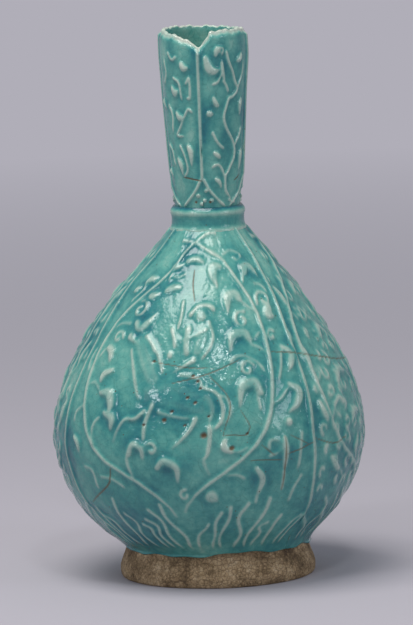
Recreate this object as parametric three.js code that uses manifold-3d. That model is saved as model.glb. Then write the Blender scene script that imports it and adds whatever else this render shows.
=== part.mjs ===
// A turquoise-glazed, press-moulded stonepaste bottle with a pear-shaped body and a tall flaring neck.
// Millimetres, +Z up, the table at z = 0, the belly's axis at x = y = 0.
// Angles are in degrees about +Z: 0 faces the front (-Y) and positive angles turn to the right (+X).
import * as THREE from 'three';
import Module from 'manifold-3d';

const wasm = await Module();
wasm.setup();

// Clearance at every luted joint, so that the sections stay separate solids.
const jointGap = 0.3;

// Foot
const footHeight = 21;
const footOuterRadius = 58.6;
const footFlare = 0.6; // how far the ring swells above its edge
const footWaist = 4; // how far it draws in under the body
const footRingWidth = 12;
const footRecessDepth = 12;
const footOffset = 2.8; // the foot and neck stand this far to the right of the belly's axis
const floorThickness = 8;

// Body: its outline as radius and height, from the foot up to the collar
const bodyWall = 5;
const bodyTop = 210.7;
const bodyOutline = [
  [footOuterRadius - 2.1, footHeight + jointGap], [67.1, 30], [78.4, 42], [88.3, 59], [94.3, 84],
  [90.7, 111], [79.3, 138], [59.6, 168], [34.4, 198], [22.6, bodyTop],
];
const bodyLeanStart = 150;
const bodyLeanEnd = 200;
const bodyColumns = 9;
const bodyRows = 17;

// Ribs over the seams of the four body panels
const bodySeamAngles = [-65.5, 42, 126, 210];
const bodySeamTopSwing = [5, 3, 3, 3];
const seamSwingStart = 160;
const bodyRibHalfWidth = 2.6;
const bodyRibProud = 2.2;
const ribFadeStart = 34;
const ribFadeEnd = 56;

// Collar
const collarBottom = bodyTop + jointGap;
const collarHeight = 13;
const collarRadius = 21.4;
const collarBulge = 1.4;
const collarWall = 5.4;

// Neck: four pressed facets with a rib over each seam
const neckBottom = collarBottom + collarHeight + jointGap;
const neckRimHeight = 331;
const neckBottomRadius = 20.6;
const neckRimRadius = 27.3;
const neckWall = 4;
const neckFacetFlat = 0.7;
const neckSeamAngles = [-7, 83, 173, 263];
const neckRibHalfWidth = 1.7;
const neckRibProud = 1.7;
const neckColumns = 6;
const neckRows = 4;
const rimNotchDepth = 9;
const rimNotchAngle = -8;
const rimNotchSpread = 11;
const rimChipDepth = 2.6;
const rimChipAngle = -40;
const rimChipSpread = 24;

// Relief strokes
const stemWidth = 4.2;
const stemProud = 1.9;
const leafWidth = 7;
const leafProud = 1.7;
// The section of a stroke: two edges on the surface, a crest above it and a root sunk below it.
const strokeArch = [0, 90, 180, 270];
const strokeSides = strokeArch.length;
const leastAdvance = 0.15;

const radians = THREE.MathUtils.degToRad;
const smooth = THREE.MathUtils.smoothstep;

// The body's outline as a curve, read back as a radius for any height.
const bodyCurve = new THREE.CatmullRomCurve3(
  bodyOutline.map(([radius, height]) => new THREE.Vector3(radius, 0, height)), false, 'centripetal');
const bodySamples = bodyCurve.getPoints(400);

function bodyRadius(z) {
  for (let i = 1; i < bodySamples.length; i += 1) {
    const low = bodySamples[i - 1];
    const high = bodySamples[i];
    if (z <= high.z || i === bodySamples.length - 1) {
      const share = (z - low.z) / (high.z - low.z);
      return low.x + (high.x - low.x) * share;
    }
  }
  return bodySamples[0].x;
}

// The wall keeps its thickness square to the surface, so it is wider in plan where the surface slopes.
function bodyInnerRadius(z) {
  const slope = (bodyRadius(z + 1) - bodyRadius(z - 1)) / 2;
  return bodyRadius(z) - bodyWall * Math.sqrt(1 + slope * slope);
}

function bodyCentre(z) {
  return footOffset * smooth(z, bodyLeanStart, bodyLeanEnd);
}

function bodySeam(index, z) {
  return bodySeamAngles[index] + bodySeamTopSwing[index] * smooth(z, seamSwingStart, bodyTop);
}

function neckRadius(z) {
  const share = (z - neckBottom) / (neckRimHeight - neckBottom);
  return neckBottomRadius + (neckRimRadius - neckBottomRadius) * share;
}

// Each facet of the neck is a little flatter than a round.
function neckFacetRadius(angle, z) {
  const turn = radians(4 * (angle - neckSeamAngles[0]));
  return neckRadius(z) - neckFacetFlat * (0.5 - 0.5 * Math.cos(turn));
}

// The broken rim: a notch over the front rib, a chip to its left and a slow wave round the rest.
function rimHeight(angle) {
  const turned = (from) => ((angle - from + 540) % 360) - 180;
  const notch = rimNotchDepth * Math.exp(-((turned(rimNotchAngle) / rimNotchSpread) ** 2));
  const chip = rimChipDepth * Math.exp(-((turned(rimChipAngle) / rimChipSpread) ** 2));
  const wave = 0.8 * Math.sin(radians(3 * angle)) + 0.5 * Math.sin(radians(7 * angle + 40));
  return neckRimHeight - 1.3 - notch - chip + wave;
}

function onRound(centre, radius, angle, z) {
  return new THREE.Vector3(centre + radius * Math.sin(radians(angle)), -radius * Math.cos(radians(angle)), z);
}

// A closed solid from point lists and triangles, turned to face out.
function solidFrom(points, triangles) {
  let volume = 0;
  for (const [a, b, c] of triangles) {
    volume += points[a].dot(new THREE.Vector3().crossVectors(points[b], points[c]));
  }
  const outward = volume >= 0 ? triangles : triangles.map(([a, b, c]) => [a, c, b]);
  const mesh = new wasm.Mesh({
    numProp: 3,
    vertProperties: new Float32Array(points.flatMap((p) => [p.x, p.y, p.z])),
    triVerts: new Uint32Array(outward.flat()),
  });
  return new wasm.Manifold(mesh);
}

// A curved slab: outer(i, j) and inner(i, j) give the two faces on the same grid.
function slab(columns, rows, outer, inner) {
  const points = [];
  const triangles = [];
  const index = (face, i, j) => face * (columns + 1) * (rows + 1) + j * (columns + 1) + i;
  for (const surface of [outer, inner]) {
    for (let j = 0; j <= rows; j += 1) {
      for (let i = 0; i <= columns; i += 1) {
        points.push(surface(i / columns, j / rows));
      }
    }
  }
  const quad = (a, b, c, d) => triangles.push([a, b, c], [a, c, d]);
  for (let j = 0; j < rows; j += 1) {
    for (let i = 0; i < columns; i += 1) {
      quad(index(0, i, j), index(0, i + 1, j), index(0, i + 1, j + 1), index(0, i, j + 1));
      quad(index(1, i, j), index(1, i, j + 1), index(1, i + 1, j + 1), index(1, i + 1, j));
    }
  }
  for (let i = 0; i < columns; i += 1) {
    quad(index(1, i, 0), index(1, i + 1, 0), index(0, i + 1, 0), index(0, i, 0));
    quad(index(0, i, rows), index(0, i + 1, rows), index(1, i + 1, rows), index(1, i, rows));
  }
  for (let j = 0; j < rows; j += 1) {
    quad(index(0, 0, j), index(0, 0, j + 1), index(1, 0, j + 1), index(1, 0, j));
    quad(index(1, columns, j), index(1, columns, j + 1), index(0, columns, j + 1), index(0, columns, j));
  }
  return solidFrom(points, triangles);
}

// A ring or disc turned about an upright axis, from a closed outline of radius and height.
function turned(outline, centre, segments) {
  const points = [];
  const triangles = [];
  for (let s = 0; s < segments; s += 1) {
    for (const [radius, z] of outline) {
      points.push(onRound(centre, radius, (s * 360) / segments, z));
    }
  }
  const count = outline.length;
  for (let s = 0; s < segments; s += 1) {
    const next = (s + 1) % segments;
    for (let k = 0; k < count; k += 1) {
      const up = (k + 1) % count;
      triangles.push([s * count + k, next * count + k, next * count + up]);
      triangles.push([s * count + k, next * count + up, s * count + up]);
    }
  }
  return solidFrom(points, triangles);
}

// A disc has no hole, so its two middle points are shared by all segments.
function disc(radius, bottom, top, centre, segments) {
  const points = [onRound(centre, 0, 0, bottom), onRound(centre, 0, 0, top)];
  const triangles = [];
  for (let s = 0; s < segments; s += 1) {
    points.push(onRound(centre, radius, (s * 360) / segments, bottom));
    points.push(onRound(centre, radius, (s * 360) / segments, top));
  }
  for (let s = 0; s < segments; s += 1) {
    const low = 2 + 2 * s;
    const nextLow = 2 + 2 * ((s + 1) % segments);
    triangles.push([0, nextLow, low], [1, low + 1, nextLow + 1]);
    triangles.push([low, nextLow, nextLow + 1], [low, nextLow + 1, low + 1]);
  }
  return solidFrom(points, triangles);
}

// A raised stroke that follows a path of [angle, height] over a surface, with rounded or pointed ends.
function stroke(surface, path, width, proud, widthAt, steps) {
  const line = new THREE.CatmullRomCurve3(path.map(([angle, z]) => new THREE.Vector3(angle, z, 0)));
  const places = line.getPoints(steps).map((p) => surface(p.x, p.y));
  const points = [];
  const triangles = [];
  places.forEach((place, n) => {
    const before = places[Math.max(n - 1, 0)];
    const after = places[Math.min(n + 1, steps)];
    const along = after.clone().sub(before).normalize();
    const p = line.getPoints(steps)[n];
    const out = surface(p.x, p.y, 1).sub(place).normalize();
    const side = new THREE.Vector3().crossVectors(out, along).normalize();
    const share = widthAt(n / steps);
    for (let k = 0; k < strokeSides; k += 1) {
      const turn = radians(strokeArch[k]);
      const point = place.clone()
        .addScaledVector(side, 0.5 * width * share * Math.cos(turn))
        .addScaledVector(out, proud * share * Math.sin(turn));
      // On the inside of a tight bend the edge waits instead of running backwards.
      if (n > 0) {
        const previous = points[points.length - strokeSides];
        const advance = point.clone().sub(previous).dot(along);
        if (advance < leastAdvance) {
          point.copy(previous).addScaledVector(along, leastAdvance);
        }
      }
      points.push(point);
    }
  });
  for (let n = 0; n < steps; n += 1) {
    for (let k = 0; k < strokeSides; k += 1) {
      const a = n * strokeSides + k;
      const b = n * strokeSides + ((k + 1) % strokeSides);
      triangles.push([a, b, b + strokeSides], [a, b + strokeSides, a + strokeSides]);
    }
  }
  for (let k = 1; k < strokeSides - 1; k += 1) {
    const last = steps * strokeSides;
    triangles.push([0, k + 1, k], [last, last + k, last + k + 1]);
  }
  return solidFrom(points, triangles);
}

const stemTaper = (t) => 0.35 + 0.65 * Math.min(1, 8 * Math.min(t, 1 - t));
const commaTaper = (t) => Math.max(0.16, Math.sin(Math.PI * (0.14 + 0.82 * t)) ** 0.75);

// A point on the body's outside, or 1 mm off it where lift is 1.
function bodySurface(angle, z, lift = 0) {
  const slope = (bodyRadius(z + 1) - bodyRadius(z - 1)) / 2;
  const level = Math.sqrt(1 + slope * slope);
  return onRound(bodyCentre(z), bodyRadius(z) + lift / level, angle, z - (lift * slope) / level);
}

function neckSurface(angle, z, lift = 0) {
  return onRound(footOffset, neckFacetRadius(angle, z) + lift, angle, z);
}

// The front panel's relief, as [angle, height] along each stroke.
const frontStems = [
  [[4, 207], [-14, 205], [-30, 194], [-43, 178], [-54, 161], [-58, 140], [-57, 120], [-52, 98],
    [-41, 80], [-27, 68], [-15, 50]],
  [[-30, 205], [-10, 203.5], [6, 198], [17, 191], [24, 180], [29, 165], [28.5, 142], [25, 116],
    [18, 93], [5, 75], [-11, 53]],
];

const frontLeaves = [
  [[26, 181], [31, 190], [39, 186]],
  [[36, 172], [35, 165], [40, 159]],
  [[33, 143], [37, 146], [40, 140], [36, 133]],
  [[29, 122], [34, 124], [37, 117], [32, 109]],
  [[28, 95], [28, 78], [28, 62]],
  [[16, 78], [20, 68], [18, 57]],
  [[15, 190], [5, 192], [6, 181]],
  [[24, 171], [15, 176.5], [12, 166]],
  [[24, 149], [16, 155.5], [10.5, 145]],
  [[24, 133], [17, 141], [11, 138]],
  [[21, 116], [16.5, 127], [12, 114]],
  [[-5, 194], [-20, 195], [-31, 190]],
  [[-42, 184], [-51, 183], [-56, 177]],
  [[-19, 180], [-29, 178], [-40, 174]],
  [[-36, 168], [-43, 164], [-38, 159]],
  [[-47, 121], [-42, 112], [-40, 101]],
  [[-45, 105], [-49, 98], [-47, 89]],
  [[-20, 81], [-16, 79], [-13, 70]],
];

// The horse and rider at the middle of the front panel.
const riderStrokes = [
  [[-9, 165], [-5, 169], [2, 167]],
  [[-2, 163], [1, 153], [-4, 142]],
  [[-15, 172], [-14, 165], [-15, 158]],
  [[-3, 156], [-10, 152], [-17, 152]],
  [[-5, 141], [-10, 138], [-16, 134]],
];
const horseStrokes = [
  [[-38, 153], [-34, 149], [-27, 144], [-21, 132], [-12, 121], [-1, 117], [3, 106]],
  [[-26, 106], [-14, 113], [-1, 113]],
  [[1, 103], [-1, 87], [0, 73]],
  [[-4, 108], [-9, 98], [-14, 91]],
  [[-24, 112], [-25, 98], [-25, 83]],
  [[-26, 110], [-33, 107], [-38, 94]],
];

// The other panels carry the same ogee frame and paired leaves, placed by share of the panel's half width.
const plainLeaves = [
  [[-0.1, 172], [-0.34, 170], [-0.42, 156]], [[0.1, 172], [0.32, 168], [0.38, 155]],
  [[-0.1, 134], [-0.4, 134], [-0.5, 118]], [[0.08, 134], [0.36, 130], [0.42, 114]],
  [[-0.03, 160], [0, 134], [0.02, 96]],
];

// Slanting flame strokes round the base of each panel.
const flameCount = 4;
const flameBottom = 29;
const flameTop = 45;
const flameLean = 7;

function panelMiddle(index) {
  const next = bodySeamAngles[(index + 1) % 4] + (index === 3 ? 360 : 0);
  return { middle: (bodySeamAngles[index] + next) / 2, half: (next - bodySeamAngles[index]) / 2 };
}

function panelRelief(index) {
  const front = panelMiddle(0);
  const here = panelMiddle(index);
  const moved = ([angle, z]) => [here.middle + ((angle - front.middle) / front.half) * here.half, z];
  const shared = ([share, z]) => [here.middle + share * here.half, z];
  const solids = frontStems.map((path) =>
    stroke(bodySurface, path.map(moved), stemWidth, stemProud, stemTaper, 12));
  const leaves = index === 0 ? frontLeaves : plainLeaves.map((path) => path.map(shared));
  for (const path of leaves) {
    solids.push(stroke(bodySurface, path, leafWidth, leafProud, commaTaper, index === 0 ? 3 : 2));
  }
  if (index === 0) {
    for (const path of riderStrokes) {
      solids.push(stroke(bodySurface, path, 8, 2.4, commaTaper, 4));
    }
    horseStrokes.forEach((path, n) => {
      const width = n < 2 ? 14 : 6.5;
      solids.push(stroke(bodySurface, path, width, n < 2 ? 2.8 : 2, commaTaper, n < 2 ? 7 : 4));
    });
  }
  for (let n = 0; n < flameCount; n += 1) {
    const angle = here.middle + ((2 * n + 1) / flameCount - 1) * (here.half - 8);
    const lean = n < flameCount / 2 ? -flameLean : flameLean;
    solids.push(stroke(bodySurface, [[angle - lean, flameTop], [angle, 37], [angle + lean, flameBottom]],
      4, 1.3, stemTaper, 2));
  }
  return solids;
}

function bodyPanel(index) {
  const edge = bodyRibHalfWidth + jointGap;
  const bottom = footHeight + jointGap;
  const angleAt = (u, z) => {
    const turn = THREE.MathUtils.radToDeg(edge / bodyRadius(z));
    const from = bodySeam(index, z) + turn;
    const to = bodySeam((index + 1) % 4, z) + (index === 3 ? 360 : 0) - turn;
    return from + (to - from) * u;
  };
  const height = (v) => bottom + (bodyTop - bottom) * v;
  let panel = slab(bodyColumns, bodyRows,
    (u, v) => onRound(bodyCentre(height(v)), bodyRadius(height(v)), angleAt(u, height(v)), height(v)),
    (u, v) => onRound(bodyCentre(height(v)), bodyInnerRadius(height(v)), angleAt(u, height(v)), height(v)));
  for (const solid of panelRelief(index)) {
    panel = panel.add(solid);
  }
  return panel.subtract(ribClearance(index)).subtract(ribClearance((index + 1) % 4));
}

// The space that a rib takes up, so that no leaf runs under it.
function ribClearance(index) {
  const low = footHeight + jointGap;
  const high = bodyTop;
  const place = (u, v, lift) => {
    const z = low + (high - low) * v;
    const turn = THREE.MathUtils.radToDeg((bodyRibHalfWidth + 0.9 * jointGap) / bodyRadius(z));
    return onRound(bodyCentre(z), bodyRadius(z) + lift, bodySeam(index, z) + turn * (2 * u - 1), z);
  };
  return slab(1, bodyRows, (u, v) => place(u, v, 2 * bodyRibProud), (u, v) => place(u, v, -bodyRibProud));
}

function bodyRib(index) {
  const bottom = footHeight + jointGap;
  const height = (v) => bottom + (bodyTop - bottom) * v;
  const place = (u, v, radiusAt, proud) => {
    const z = height(v);
    const turn = THREE.MathUtils.radToDeg(bodyRibHalfWidth / bodyRadius(z));
    const rise = proud * smooth(z, ribFadeStart, ribFadeEnd) * Math.sin(Math.PI * u);
    return onRound(bodyCentre(z), radiusAt(z) + rise, bodySeam(index, z) + turn * (2 * u - 1), z);
  };
  return slab(4, bodyRows,
    (u, v) => place(u, v, bodyRadius, bodyRibProud),
    (u, v) => place(u, v, bodyInnerRadius, 0));
}

function footRing() {
  const inner = footOuterRadius - footRingWidth;
  return turned([
    [inner, 0], [footOuterRadius - 1, 0], [footOuterRadius, 0.06 * footHeight],
    [footOuterRadius + footFlare, 0.28 * footHeight], [footOuterRadius - 0.4 * footWaist, 0.57 * footHeight],
    [footOuterRadius - footWaist, 0.86 * footHeight], [footOuterRadius - 0.8 * footWaist, footHeight],
    [inner, footHeight],
  ], footOffset, 40);
}

function bodyFloor() {
  const radius = footOuterRadius - footRingWidth - jointGap;
  return disc(radius, footRecessDepth, footRecessDepth + floorThickness, footOffset, 48);
}

function collar() {
  const outline = [];
  const steps = 6;
  for (let n = 0; n <= steps; n += 1) {
    const bulge = collarBulge * Math.sin((Math.PI * n) / steps);
    outline.push([collarRadius + bulge, collarBottom + (collarHeight * n) / steps]);
  }
  outline.push([collarRadius - collarWall, collarBottom + collarHeight], [collarRadius - collarWall, collarBottom]);
  return turned(outline, footOffset, 30);
}

// The gable and dots at the foot of each neck rib, and the vine between ribs, set from the seam at its left.
// Heights here are those of a neck 106.7 mm long and are stretched with it.
const neckPatternLength = 106.7;
const neckPatternBottom = 224.3;
const gableApex = 240;
const gableFoot = 226;

function onNeck(z) {
  return neckBottom + ((z - neckPatternBottom) * (neckRimHeight - neckBottom)) / neckPatternLength;
}
const dotPlaces = [[9, 231.5], [17, 229], [80, 231]];
const vinePath = [[40, 317], [51, 306], [61, 295], [45, 290], [36, 279], [47, 268], [57, 259], [51, 250],
  [40, 243], [44, 234]];
const vineLeaves = [[[14, 312], [26, 309], [34, 303]], [[22, 269], [29, 264], [38, 260]],
  [[72, 303], [66, 298], [70, 288]]];

function neckPanel(index) {
  const start = neckSeamAngles[index];
  const angleAt = (u, z) => {
    const turn = THREE.MathUtils.radToDeg((neckRibHalfWidth + jointGap) / neckRadius(z));
    return start + turn + (90 - 2 * turn) * u;
  };
  const height = (u, v) => neckBottom + (rimHeight(angleAt(u, neckRimHeight)) - neckBottom) * v;
  const face = (u, v, wall) => {
    const z = height(u, v);
    const angle = angleAt(u, z);
    return onRound(footOffset, neckFacetRadius(angle, z) - wall, angle, z);
  };
  let panel = slab(neckColumns, neckRows, (u, v) => face(u, v, 0), (u, v) => face(u, v, neckWall));
  const place = ([angle, z]) => [start + angle, onNeck(z)];
  const legs = [
    [[10.5, gableApex - 2], [22, 233], [40, gableFoot]],
    [[79.5, gableApex - 2], [68, 233], [50, gableFoot]],
  ];
  for (const path of legs) {
    panel = panel.add(stroke(neckSurface, path.map(place), 2.6, 1.5, stemTaper, 2));
  }
  panel = panel.add(stroke(neckSurface, vinePath.map(place), 2.8, 1.4, stemTaper, 9));
  for (const path of vineLeaves) {
    panel = panel.add(stroke(neckSurface, path.map(place), 4.6, 1.4, commaTaper, 2));
  }
  for (const [angle, z] of dotPlaces) {
    panel = panel.add(stroke(neckSurface, [[angle - 2.4, z], [angle + 2.4, z]].map(place),
      2.6, 1.3, (t) => 0.3 + 0.7 * Math.sin(Math.PI * t), 2));
  }
  return panel;
}

function neckRib(index) {
  const seam = neckSeamAngles[index];
  const top = rimHeight(seam) - 0.5;
  const height = (v) => neckBottom + (top - neckBottom) * v;
  const place = (u, v, wall, proud) => {
    const z = height(v);
    const turn = THREE.MathUtils.radToDeg(neckRibHalfWidth / neckRadius(z));
    const rise = proud * smooth(z, onNeck(gableFoot + 8), onNeck(gableApex)) * Math.sin(Math.PI * u);
    return onRound(footOffset, neckRadius(z) - wall + rise, seam + turn * (2 * u - 1), z);
  };
  return slab(4, neckRows + 3, (u, v) => place(u, v, 0, neckRibProud), (u, v) => place(u, v, neckWall, 0));
}

const turquoiseGlaze = () => new THREE.MeshStandardMaterial({ color: 0x4fa39b, roughness: 0.18 });
const buffStonepaste = () => new THREE.MeshStandardMaterial({ color: 0x9a8468, roughness: 0.85 });

function named(name, solid, material) {
  const mesh = solid.getMesh();
  const geometry = new THREE.BufferGeometry();
  geometry.setAttribute('position', new THREE.BufferAttribute(new Float32Array(mesh.vertProperties), 3));
  geometry.setIndex(new THREE.BufferAttribute(new Uint32Array(mesh.triVerts), 1));
  geometry.computeVertexNormals();
  const node = new THREE.Mesh(geometry, material);
  node.name = name;
  return node;
}

const bottle = new THREE.Group();
bottle.name = 'bottle';
bottle.add(named('foot_ring', footRing(), buffStonepaste()));
bottle.add(named('body_floor', bodyFloor(), buffStonepaste()));
['front', 'right', 'back', 'left'].forEach((side, index) => {
  bottle.add(named(`body_panel_${side}`, bodyPanel(index), turquoiseGlaze()));
});
['front_left', 'front_right', 'back_right', 'back_left'].forEach((corner, index) => {
  bottle.add(named(`body_rib_${corner}`, bodyRib(index), turquoiseGlaze()));
});
bottle.add(named('collar_ring', collar(), turquoiseGlaze()));
['front_right', 'back_right', 'back_left', 'front_left'].forEach((side, index) => {
  bottle.add(named(`neck_panel_${side}`, neckPanel(index), turquoiseGlaze()));
});
['front', 'right', 'back', 'left'].forEach((side, index) => {
  bottle.add(named(`neck_rib_${side}`, neckRib(index), turquoiseGlaze()));
});

export default bottle;
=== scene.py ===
import math

import bpy
import numpy as np
from mathutils import Matrix, Vector


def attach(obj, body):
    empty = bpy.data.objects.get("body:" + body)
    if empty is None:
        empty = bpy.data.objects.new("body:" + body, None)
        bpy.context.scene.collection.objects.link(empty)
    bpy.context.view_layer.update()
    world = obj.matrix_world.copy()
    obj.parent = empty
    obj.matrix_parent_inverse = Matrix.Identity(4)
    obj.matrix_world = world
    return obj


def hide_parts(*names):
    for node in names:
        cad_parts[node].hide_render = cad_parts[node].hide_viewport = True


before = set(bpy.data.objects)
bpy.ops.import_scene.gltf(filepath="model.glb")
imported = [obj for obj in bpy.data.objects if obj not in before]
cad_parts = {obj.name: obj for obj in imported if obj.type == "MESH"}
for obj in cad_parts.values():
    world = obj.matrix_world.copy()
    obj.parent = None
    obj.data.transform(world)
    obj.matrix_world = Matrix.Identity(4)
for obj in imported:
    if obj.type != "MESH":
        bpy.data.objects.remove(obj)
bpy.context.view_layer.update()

# Sizes are in millimetres until a mesh is made. Angles are in degrees: 0 faces the front, + turns to the right.
perMetre = 0.001
footOffset = 2.8

bodyOutline = [
    (20, 55.4), (30, 66), (42, 77.3), (59, 87.4), (84, 93.3), (111, 89.7), (138, 78.4), (168, 58.8), (198, 33.6),
    (212, 21.8),
]
neckOutline = [(219, 20.4), (226, 19.6), (240, 21), (264, 22.8), (300, 25), (316, 26), (334, 25.8)]
frontRibLeft = [
    (14, -60), (46, -61.5), (60, -64), (80, -66.3), (100, -66.8), (130, -65.2), (155, -64.3), (178, -67), (190, -65.5),
    (202, -61.5), (216, -58.5),
]
frontRibRight = [
    (14, 46), (46, 44), (62, 42.3), (90, 41.2), (110, 41.5), (145, 42.5), (175, 45), (188, 45.6), (200, 47), (216, 45.5),
]


def smoothStep(x, low, high):
    t = np.clip((x - low) / (high - low), 0.0, 1.0)
    return t * t * (3.0 - 2.0 * t)


# Points evenly spread along a smooth line through the given ones.
def splinePoints(points, count):
    p = np.array(points, float)
    if len(p) == 2:
        t = np.linspace(0.0, 1.0, count)[:, None]
        return p[0] * (1 - t) + p[1] * t
    ends = np.vstack([2 * p[0] - p[1], p, 2 * p[-1] - p[-2]])
    spans = len(p) - 1
    u = np.linspace(0.0, spans, count)
    k = np.minimum(u.astype(int), spans - 1)
    t = (u - k)[:, None]
    a, b, c, d = ends[k], ends[k + 1], ends[k + 2], ends[k + 3]
    return 0.5 * (2 * b + (c - a) * t + (2 * a - 5 * b + 4 * c - d) * t ** 2 + (3 * b - a - 3 * c + d) * t ** 3)


def curveOf(points):
    line = splinePoints(points, 600)
    return lambda x: np.interp(x, line[:, 0], line[:, 1])


bodyRadius = curveOf(bodyOutline)
neckRadius = curveOf(neckOutline)


def bodyCentre(z):
    return footOffset * (smoothStep(z, 150.0, 200.0) + 1.0 - smoothStep(z, 18.0, 30.0))


def makeSeam(points, base):
    line = curveOf(points) if points else None
    return (lambda z: line(z)) if line else (lambda z: base + 3.0 * smoothStep(z, 185.0, 212.0))


def shifted(seam, turn):
    return lambda z: seam(z) + turn


seamFrontLeft = makeSeam(frontRibLeft, 0)
seamFrontRight = makeSeam(frontRibRight, 0)
seamBackRight = makeSeam(None, 126.0)
seamBackLeft = makeSeam(None, 210.0)


# Raises field along a path of (angle, height), like a strip of clay pressed in the mould.
def addStroke(field, angles, heights, radius, path, halfWidth, rise, taper, samples=18, combine=np.maximum):
    line = splinePoints(path, samples)
    middle = line[:, 1].mean()
    across = math.radians(1.0) * float(radius(middle))
    slope = float(radius(middle + 1.0) - radius(middle - 1.0)) / 2.0
    along = math.sqrt(1.0 + slope * slope)
    reach = halfWidth * 1.1
    near = (
        (angles > line[:, 0].min() - reach / across) & (angles < line[:, 0].max() + reach / across)
        & (heights > line[:, 1].min() - reach / along) & (heights < line[:, 1].max() + reach / along)
    )
    if not near.any():
        return
    x = angles[near]
    y = heights[near]
    best = np.zeros(x.shape)
    scaleX = np.radians(1.0) * radius(y)
    for n in range(samples - 1):
        (ax, ay), (bx, by) = line[n], line[n + 1]
        dx, dy = (bx - ax) * scaleX, (by - ay) * along
        px, py = (x - ax) * scaleX, (y - ay) * along
        t = np.clip((px * dx + py * dy) / np.maximum(dx * dx + dy * dy, 1e-9), 0.0, 1.0)
        distance = np.hypot(px - t * dx, py - t * dy)
        share = (n + t) / (samples - 1)
        width = halfWidth * taper(share)
        value = rise * (0.45 + 0.55 * taper(share)) * (1.0 - smoothStep(distance, 0.25 * width, width))
        best = np.maximum(best, value)
    field[near] = combine(field[near], best)


def evenTaper(s):
    return 1.0 - 0.55 * smoothStep(s, 0.88, 1.0)


def leafTaper(s):
    return 1.0 - 0.86 * s ** 1.1


def hookTaper(s):
    return np.maximum(0.14, np.sin(np.pi * np.clip(0.14 + 0.86 * s, 0.0, 1.0)) ** 0.75)


def hairTaper(s):
    return 1.0 - 0.4 * np.abs(2 * s - 1) ** 3


# A flat curl about a point, size across in mm, as (angle, height) points.
def spiralPath(angle, height, size, turns, start, hand):
    across = math.radians(1.0) * float(bodyRadius(height))
    points = []
    for n in range(9):
        t = n / 8
        turn = math.radians(start + hand * 360.0 * turns * t)
        reach = size * (1.0 - 0.85 * t)
        points.append((angle + reach * math.cos(turn) / across, height + reach * math.sin(turn)))
    return points


# The front panel's frame: two stems that cross at the top and meet at the foot.
ogeeStems = [
    [(10, 210), (0, 210), (-8, 208), (-14, 206), (-20, 203), (-26, 199), (-33, 188), (-43, 178), (-52, 166),
     (-56, 156), (-58, 142), (-57.2, 128), (-55.5, 115), (-52, 98), (-45, 84), (-37, 77), (-27, 68), (-18, 56), (-15, 48)],
    [(-32, 206), (-17, 205), (-10, 203.5), (-2, 201), (6, 198), (13, 195), (20, 186), (26.5, 174), (29.5, 160),
     (28.5, 142), (26.5, 126), (23.5, 108), (18, 93), (9, 80), (0, 70), (-8, 59), (-11, 51)],
]

# Each leaf is head first, then its tail.
frontLeaves = [
    ([(29, 187), (31, 191), (36, 190), (40, 185)], 3.2), ([(38, 162.5), (35.5, 163.5), (37, 168), (36, 172)], 3.0),
    ([(36.5, 145), (40, 141), (38, 136), (36, 132)], 3.2), ([(34, 124), (37.5, 120), (35.5, 113), (31, 108)], 3.4),
    ([(31, 103), (31.3, 103.2)], 2.4), ([(28.3, 94), (28.5, 86), (28, 74)], 2.4), ([(17, 77), (19.5, 70), (18, 60)], 2.4),
    ([(9, 191.5), (4.5, 192), (3, 187), (6.5, 180.5)], 3.6), ([(20, 173), (16.5, 176.5), (12.5, 174), (11.8, 166)], 3.7),
    ([(21, 151), (18, 155), (12.5, 153), (10.5, 145)], 3.8), ([(21, 121), (18.5, 127), (13.5, 124.5), (12, 114)], 3.8),
    ([(-20, 194.5), (-12, 196), (-4, 193.5)], 2.6), ([(-29, 191.5), (-22, 193)], 2.8),
    ([(-50, 182.5), (-46, 184.5), (-42, 184)], 2.8), ([(-55, 178), (-52, 180)], 2.4),
    ([(-29, 178.5), (-24, 180.5), (-18, 180.5)], 3.0), ([(-38, 175.5), (-33, 177)], 3.2),
    ([(-40, 161), (-36, 158), (-33, 161), (-30, 166)], 3.2), ([(-47, 121), (-42.5, 121), (-40.5, 115), (-41, 108)], 3.2),
    ([(-43, 110), (-39, 107), (-39.5, 100)], 3.0), ([(-60, 93), (-57.5, 90), (-57, 84)], 2.2),
    ([(-20, 79), (-17, 82.5), (-12.5, 79), (-12.5, 70)], 3.0), ([(0, 61), (2.5, 58)], 4.4),
    ([(-31, 86), (-29, 92), (-25.5, 90), (-25.5, 84)], 2.6), ([(-52, 146), (-48.5, 144), (-47.5, 138)], 3.0),
    ([(8, 88), (5, 91), (6, 96)], 2.6), ([(-44, 134), (-48, 131), (-49, 126)], 2.6),
]
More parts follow.
